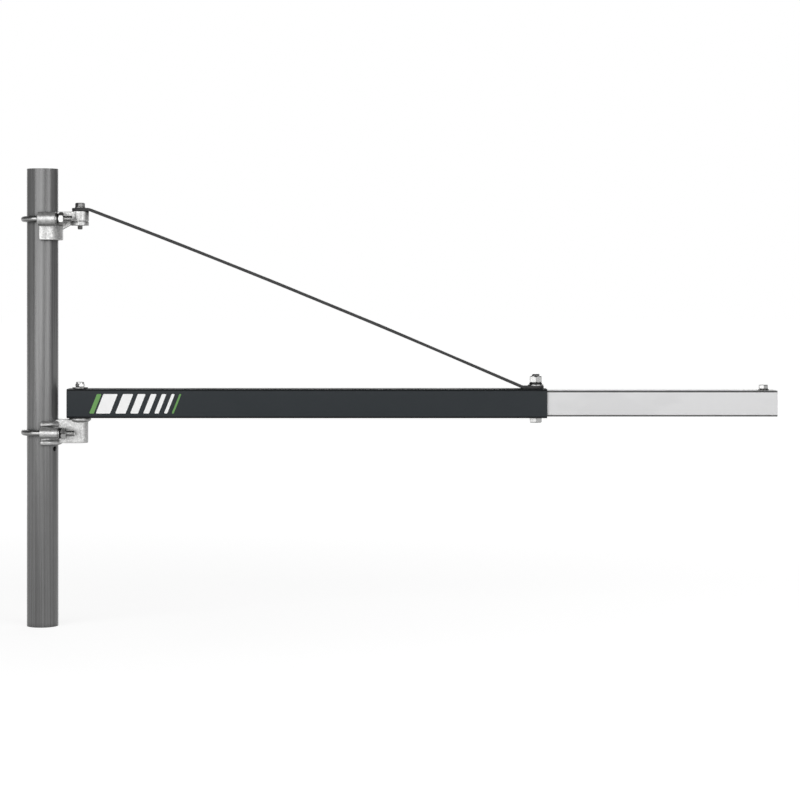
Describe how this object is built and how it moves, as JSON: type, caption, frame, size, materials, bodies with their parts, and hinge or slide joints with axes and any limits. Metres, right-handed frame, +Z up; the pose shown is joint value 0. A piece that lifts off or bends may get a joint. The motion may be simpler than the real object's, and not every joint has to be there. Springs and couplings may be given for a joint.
{
  "type": "swing jib crane for a hoist, on a scaffold pole",
  "caption": "Swing jib of square tube with a pinned extension tube and a flat brace, on two cast clamp brackets U-bolted to a round scaffold pole.",
  "frame": {"origin": "centre of the pole's foot", "axes": "+Z up along the pole, +X along the jib at rest, Y across it"},
  "size_m": [1.1682, 0.0822, 0.707],
  "materials": {
    "pole_steel": "dull galvanised, streaked along its length",
    "casting": "hot-dip galvanised casting",
    "u_bolt_steel": "zinc plated, bright",
    "zinc_steel": "zinc plated",
    "black_steel": "blackened spring steel",
    "anthracite_paint": "satin anthracite powder coat",
    "black_paint": "satin black powder coat",
    "extension_paint": "light grey satin"
  },
  "bodies": {
    "mast": {"pole": "pole_steel", "lower_bracket": "casting", "upper_bracket": "casting", "lower_u_bolt": "u_bolt_steel", "upper_u_bolt": "u_bolt_steel", "lower_front_washer": "zinc_steel", "lower_front_spring_washer": "black_steel", "lower_front_nut": "zinc_steel", "lower_rear_washer": "zinc_steel", "lower_rear_spring_washer": "black_steel", "lower_rear_nut": "zinc_steel", "upper_front_washer": "zinc_steel", "upper_front_spring_washer": "black_steel", "upper_front_nut": "zinc_steel", "upper_rear_washer": "zinc_steel", "upper_rear_spring_washer": "black_steel", "upper_rear_nut": "zinc_steel", "lower_pivot_bolt": "zinc_steel", "lower_pivot_washer": "zinc_steel", "lower_pivot_nut": "zinc_steel", "upper_pivot_bolt": "zinc_steel", "upper_pivot_washer": "zinc_steel", "upper_pivot_nut": "zinc_steel"},
    "jib": {"outer_tube": "anthracite_paint", "extension_tube": "extension_paint", "brace": "black_paint", "lock_bolt": "zinc_steel", "lock_washer": "zinc_steel", "lock_spring_washer": "black_steel", "lock_nut": "zinc_steel", "tip_bolt": "zinc_steel", "tip_nut": "zinc_steel"}
  },
  "joints": [
    {"name": "jib_swivel", "type": "hinge", "parent": "mast", "child": "jib", "pos_m": [0.058, 0, 0.32], "axis": [0, 0, 1], "range_deg": [-90, 90]}
  ]
}
